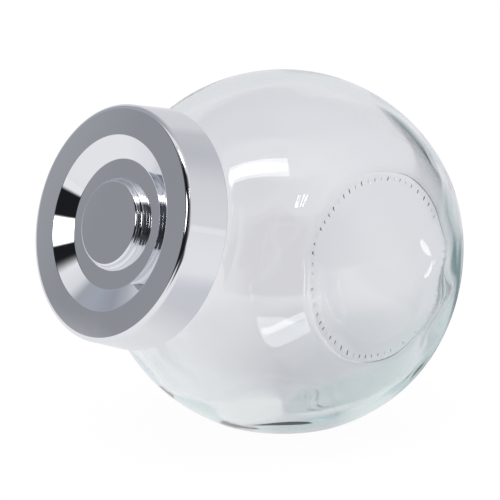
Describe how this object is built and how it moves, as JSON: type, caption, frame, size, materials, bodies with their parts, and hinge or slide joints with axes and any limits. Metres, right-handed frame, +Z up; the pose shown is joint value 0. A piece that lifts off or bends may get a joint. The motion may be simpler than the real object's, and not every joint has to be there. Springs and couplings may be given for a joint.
{
  "type": "spice jar",
  "caption": "Clear glass globe jar that lies on a flat on its side, with a chrome-plated screw lid that faces forward and up, for keeping spices.",
  "frame": {"origin": "middle of the flat on the side of the globe, on the surface that the jar lies on", "axes": "+Z up; the lid looks towards -Y and 17 degrees up; the jar is the same on both sides of the plane x = 0"},
  "size_m": [0.074, 0.0847, 0.0712],
  "materials": {
    "clear_glass": "polished",
    "chrome_plated_abs": "polished",
    "white_polypropylene": "satin",
    "polyethylene_foam": "matte"
  },
  "bodies": {
    "jar": {"glass_jar": "clear_glass"},
    "wad": {"sealing_wad": "polyethylene_foam"},
    "lid": {"lid_shell": "chrome_plated_abs", "inner_cap": "white_polypropylene"}
  },
  "joints": [
    {"name": "lid_rise", "type": "slide", "parent": "jar", "child": "wad", "axis": [0, -0.9563, 0.2924], "range_m": [0, 0.016]},
    {"name": "lid_turn", "type": "hinge", "parent": "wad", "child": "lid", "pos_m": [0, -0.03887, 0.04608], "axis": [0, -0.9563, 0.2924], "range_deg": [0, 720]}
  ],
  "couplings": [
    {"joint": "lid_rise", "follows": "lid_turn", "m_per_rad": 0.001273}
  ]
}
